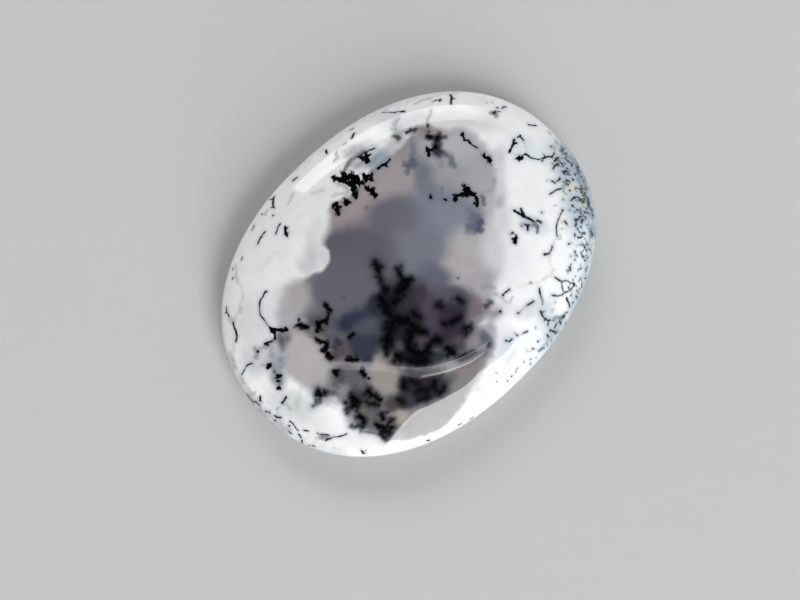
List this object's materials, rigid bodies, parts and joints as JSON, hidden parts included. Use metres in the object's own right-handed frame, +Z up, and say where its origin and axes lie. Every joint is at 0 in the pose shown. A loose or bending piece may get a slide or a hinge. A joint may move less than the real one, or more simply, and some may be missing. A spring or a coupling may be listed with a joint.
{
  "type": "dendritic opal cabochon",
  "caption": "Polished oval cabochon of milky opal with a smoky translucent middle and black branching inclusions; low domed face over a gently rounded back.",
  "frame": {"origin": "middle of the small flat oval on the back, which the stone rests on", "axes": "+X along the stone's length, +Y across it, +Z up through the top of the dome"},
  "size_m": [0.0406, 0.0308, 0.0062],
  "materials": {
    "opal": "high polish; milky white opal, smoky violet-grey and translucent in the middle, with black branching inclusions"
  },
  "bodies": {
    "root": {"opal_cabochon": "opal"}
  },
  "joints": []
}
